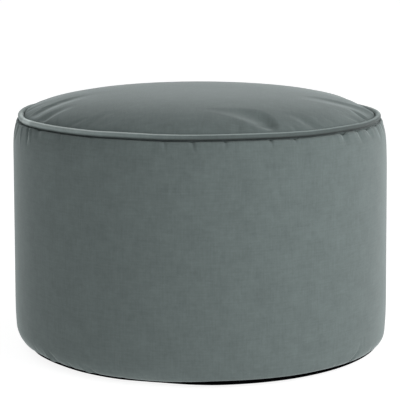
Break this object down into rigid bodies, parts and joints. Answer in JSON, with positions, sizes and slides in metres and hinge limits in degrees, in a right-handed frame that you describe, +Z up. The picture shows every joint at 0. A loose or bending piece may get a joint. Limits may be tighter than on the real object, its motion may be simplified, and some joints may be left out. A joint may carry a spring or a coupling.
{
  "type": "bean bag footstool",
  "caption": "Low round drum footstool of filled velvet with a domed top panel, a piped top seam and a dark base cloth.",
  "frame": {"origin": "on the floor under the middle of the drum", "axes": "+Z up, from the base cloth to the domed top; -Y is the front that the picture shows and +X its right"},
  "size_m": [0.5052, 0.5052, 0.3436],
  "materials": {
    "velvet": "grey-green short-pile cotton velvet",
    "velvet_piping": "the same velvet cut on the bias over a cord",
    "base_cloth": "plain black woven base cloth"
  },
  "bodies": {
    "root": {"top_panel": "velvet", "side_band": "velvet", "top_piping": "velvet_piping", "base_panel": "base_cloth"}
  },
  "joints": []
}
